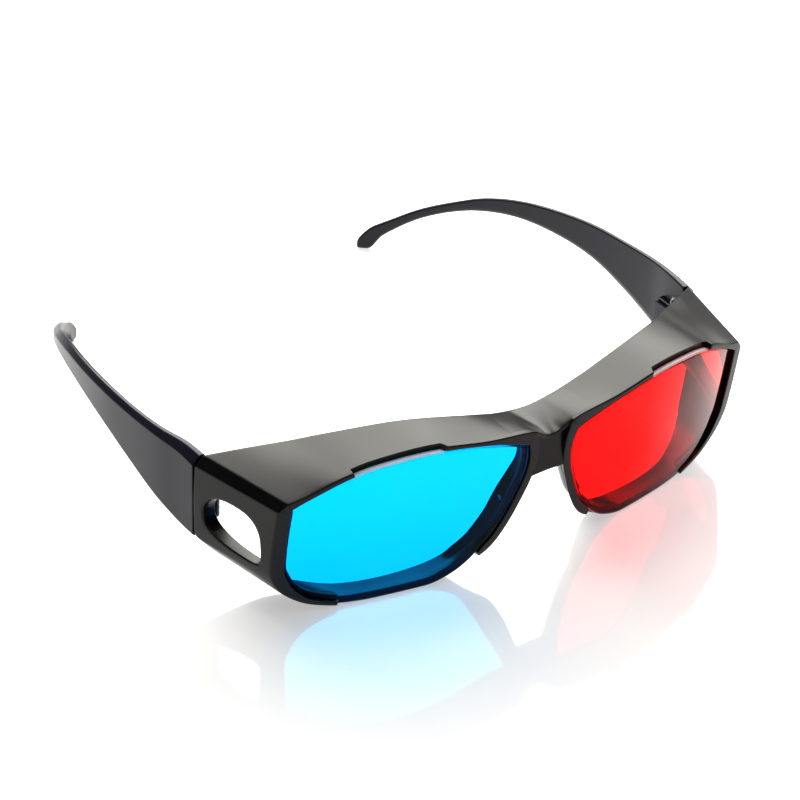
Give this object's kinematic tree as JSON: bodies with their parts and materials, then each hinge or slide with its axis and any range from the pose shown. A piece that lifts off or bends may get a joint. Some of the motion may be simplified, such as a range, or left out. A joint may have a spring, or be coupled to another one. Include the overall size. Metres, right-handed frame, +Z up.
{
  "type": "3d glasses",
  "caption": "Deep fit-over anaglyph viewing glasses: black wraparound front with red and cyan lenses, side windows, nose pads and hinged temples with drooping ear hooks.",
  "frame": {"origin": "on the table surface, under the middle of the bounding box", "axes": "+Z up as the glasses stand on their lower rims and hook tips, the front faces -Y, +X towards the red lens"},
  "size_m": [0.163, 0.1614, 0.048],
  "materials": {
    "frame": "satin black moulded plastic",
    "temple": "satin black moulded plastic",
    "cyan_lens": "clear cyan tint",
    "red_lens": "clear red tint",
    "hinge_metal": "blackened stamped and rolled strip",
    "screw_steel": "blackened screws",
    "nose_pad": "clear soft silicone"
  },
  "bodies": {
    "front": {"front_frame": "frame", "cyan_lens": "cyan_lens", "red_lens": "red_lens", "left_frame_leaf": "hinge_metal", "right_frame_leaf": "hinge_metal", "left_hinge_screw": "screw_steel", "right_hinge_screw": "screw_steel", "left_frame_leaf_screws": "screw_steel", "right_frame_leaf_screws": "screw_steel", "left_nose_pad": "nose_pad", "right_nose_pad": "nose_pad"},
    "left_arm": {"left_temple": "temple", "left_temple_leaf": "hinge_metal", "left_temple_leaf_screws": "screw_steel"},
    "right_arm": {"right_temple": "temple", "right_temple_leaf": "hinge_metal", "right_temple_leaf_screws": "screw_steel"}
  },
  "joints": [
    {"name": "right_fold", "type": "hinge", "parent": "front", "child": "right_arm", "pos_m": [0.0742, -0.03708, 0.026], "axis": [0, 0, 1], "range_deg": [0, 87]},
    {"name": "left_fold", "type": "hinge", "parent": "front", "child": "left_arm", "pos_m": [-0.0742, -0.03708, 0.026], "axis": [0, 0, -1], "range_deg": [0, 78]}
  ]
}
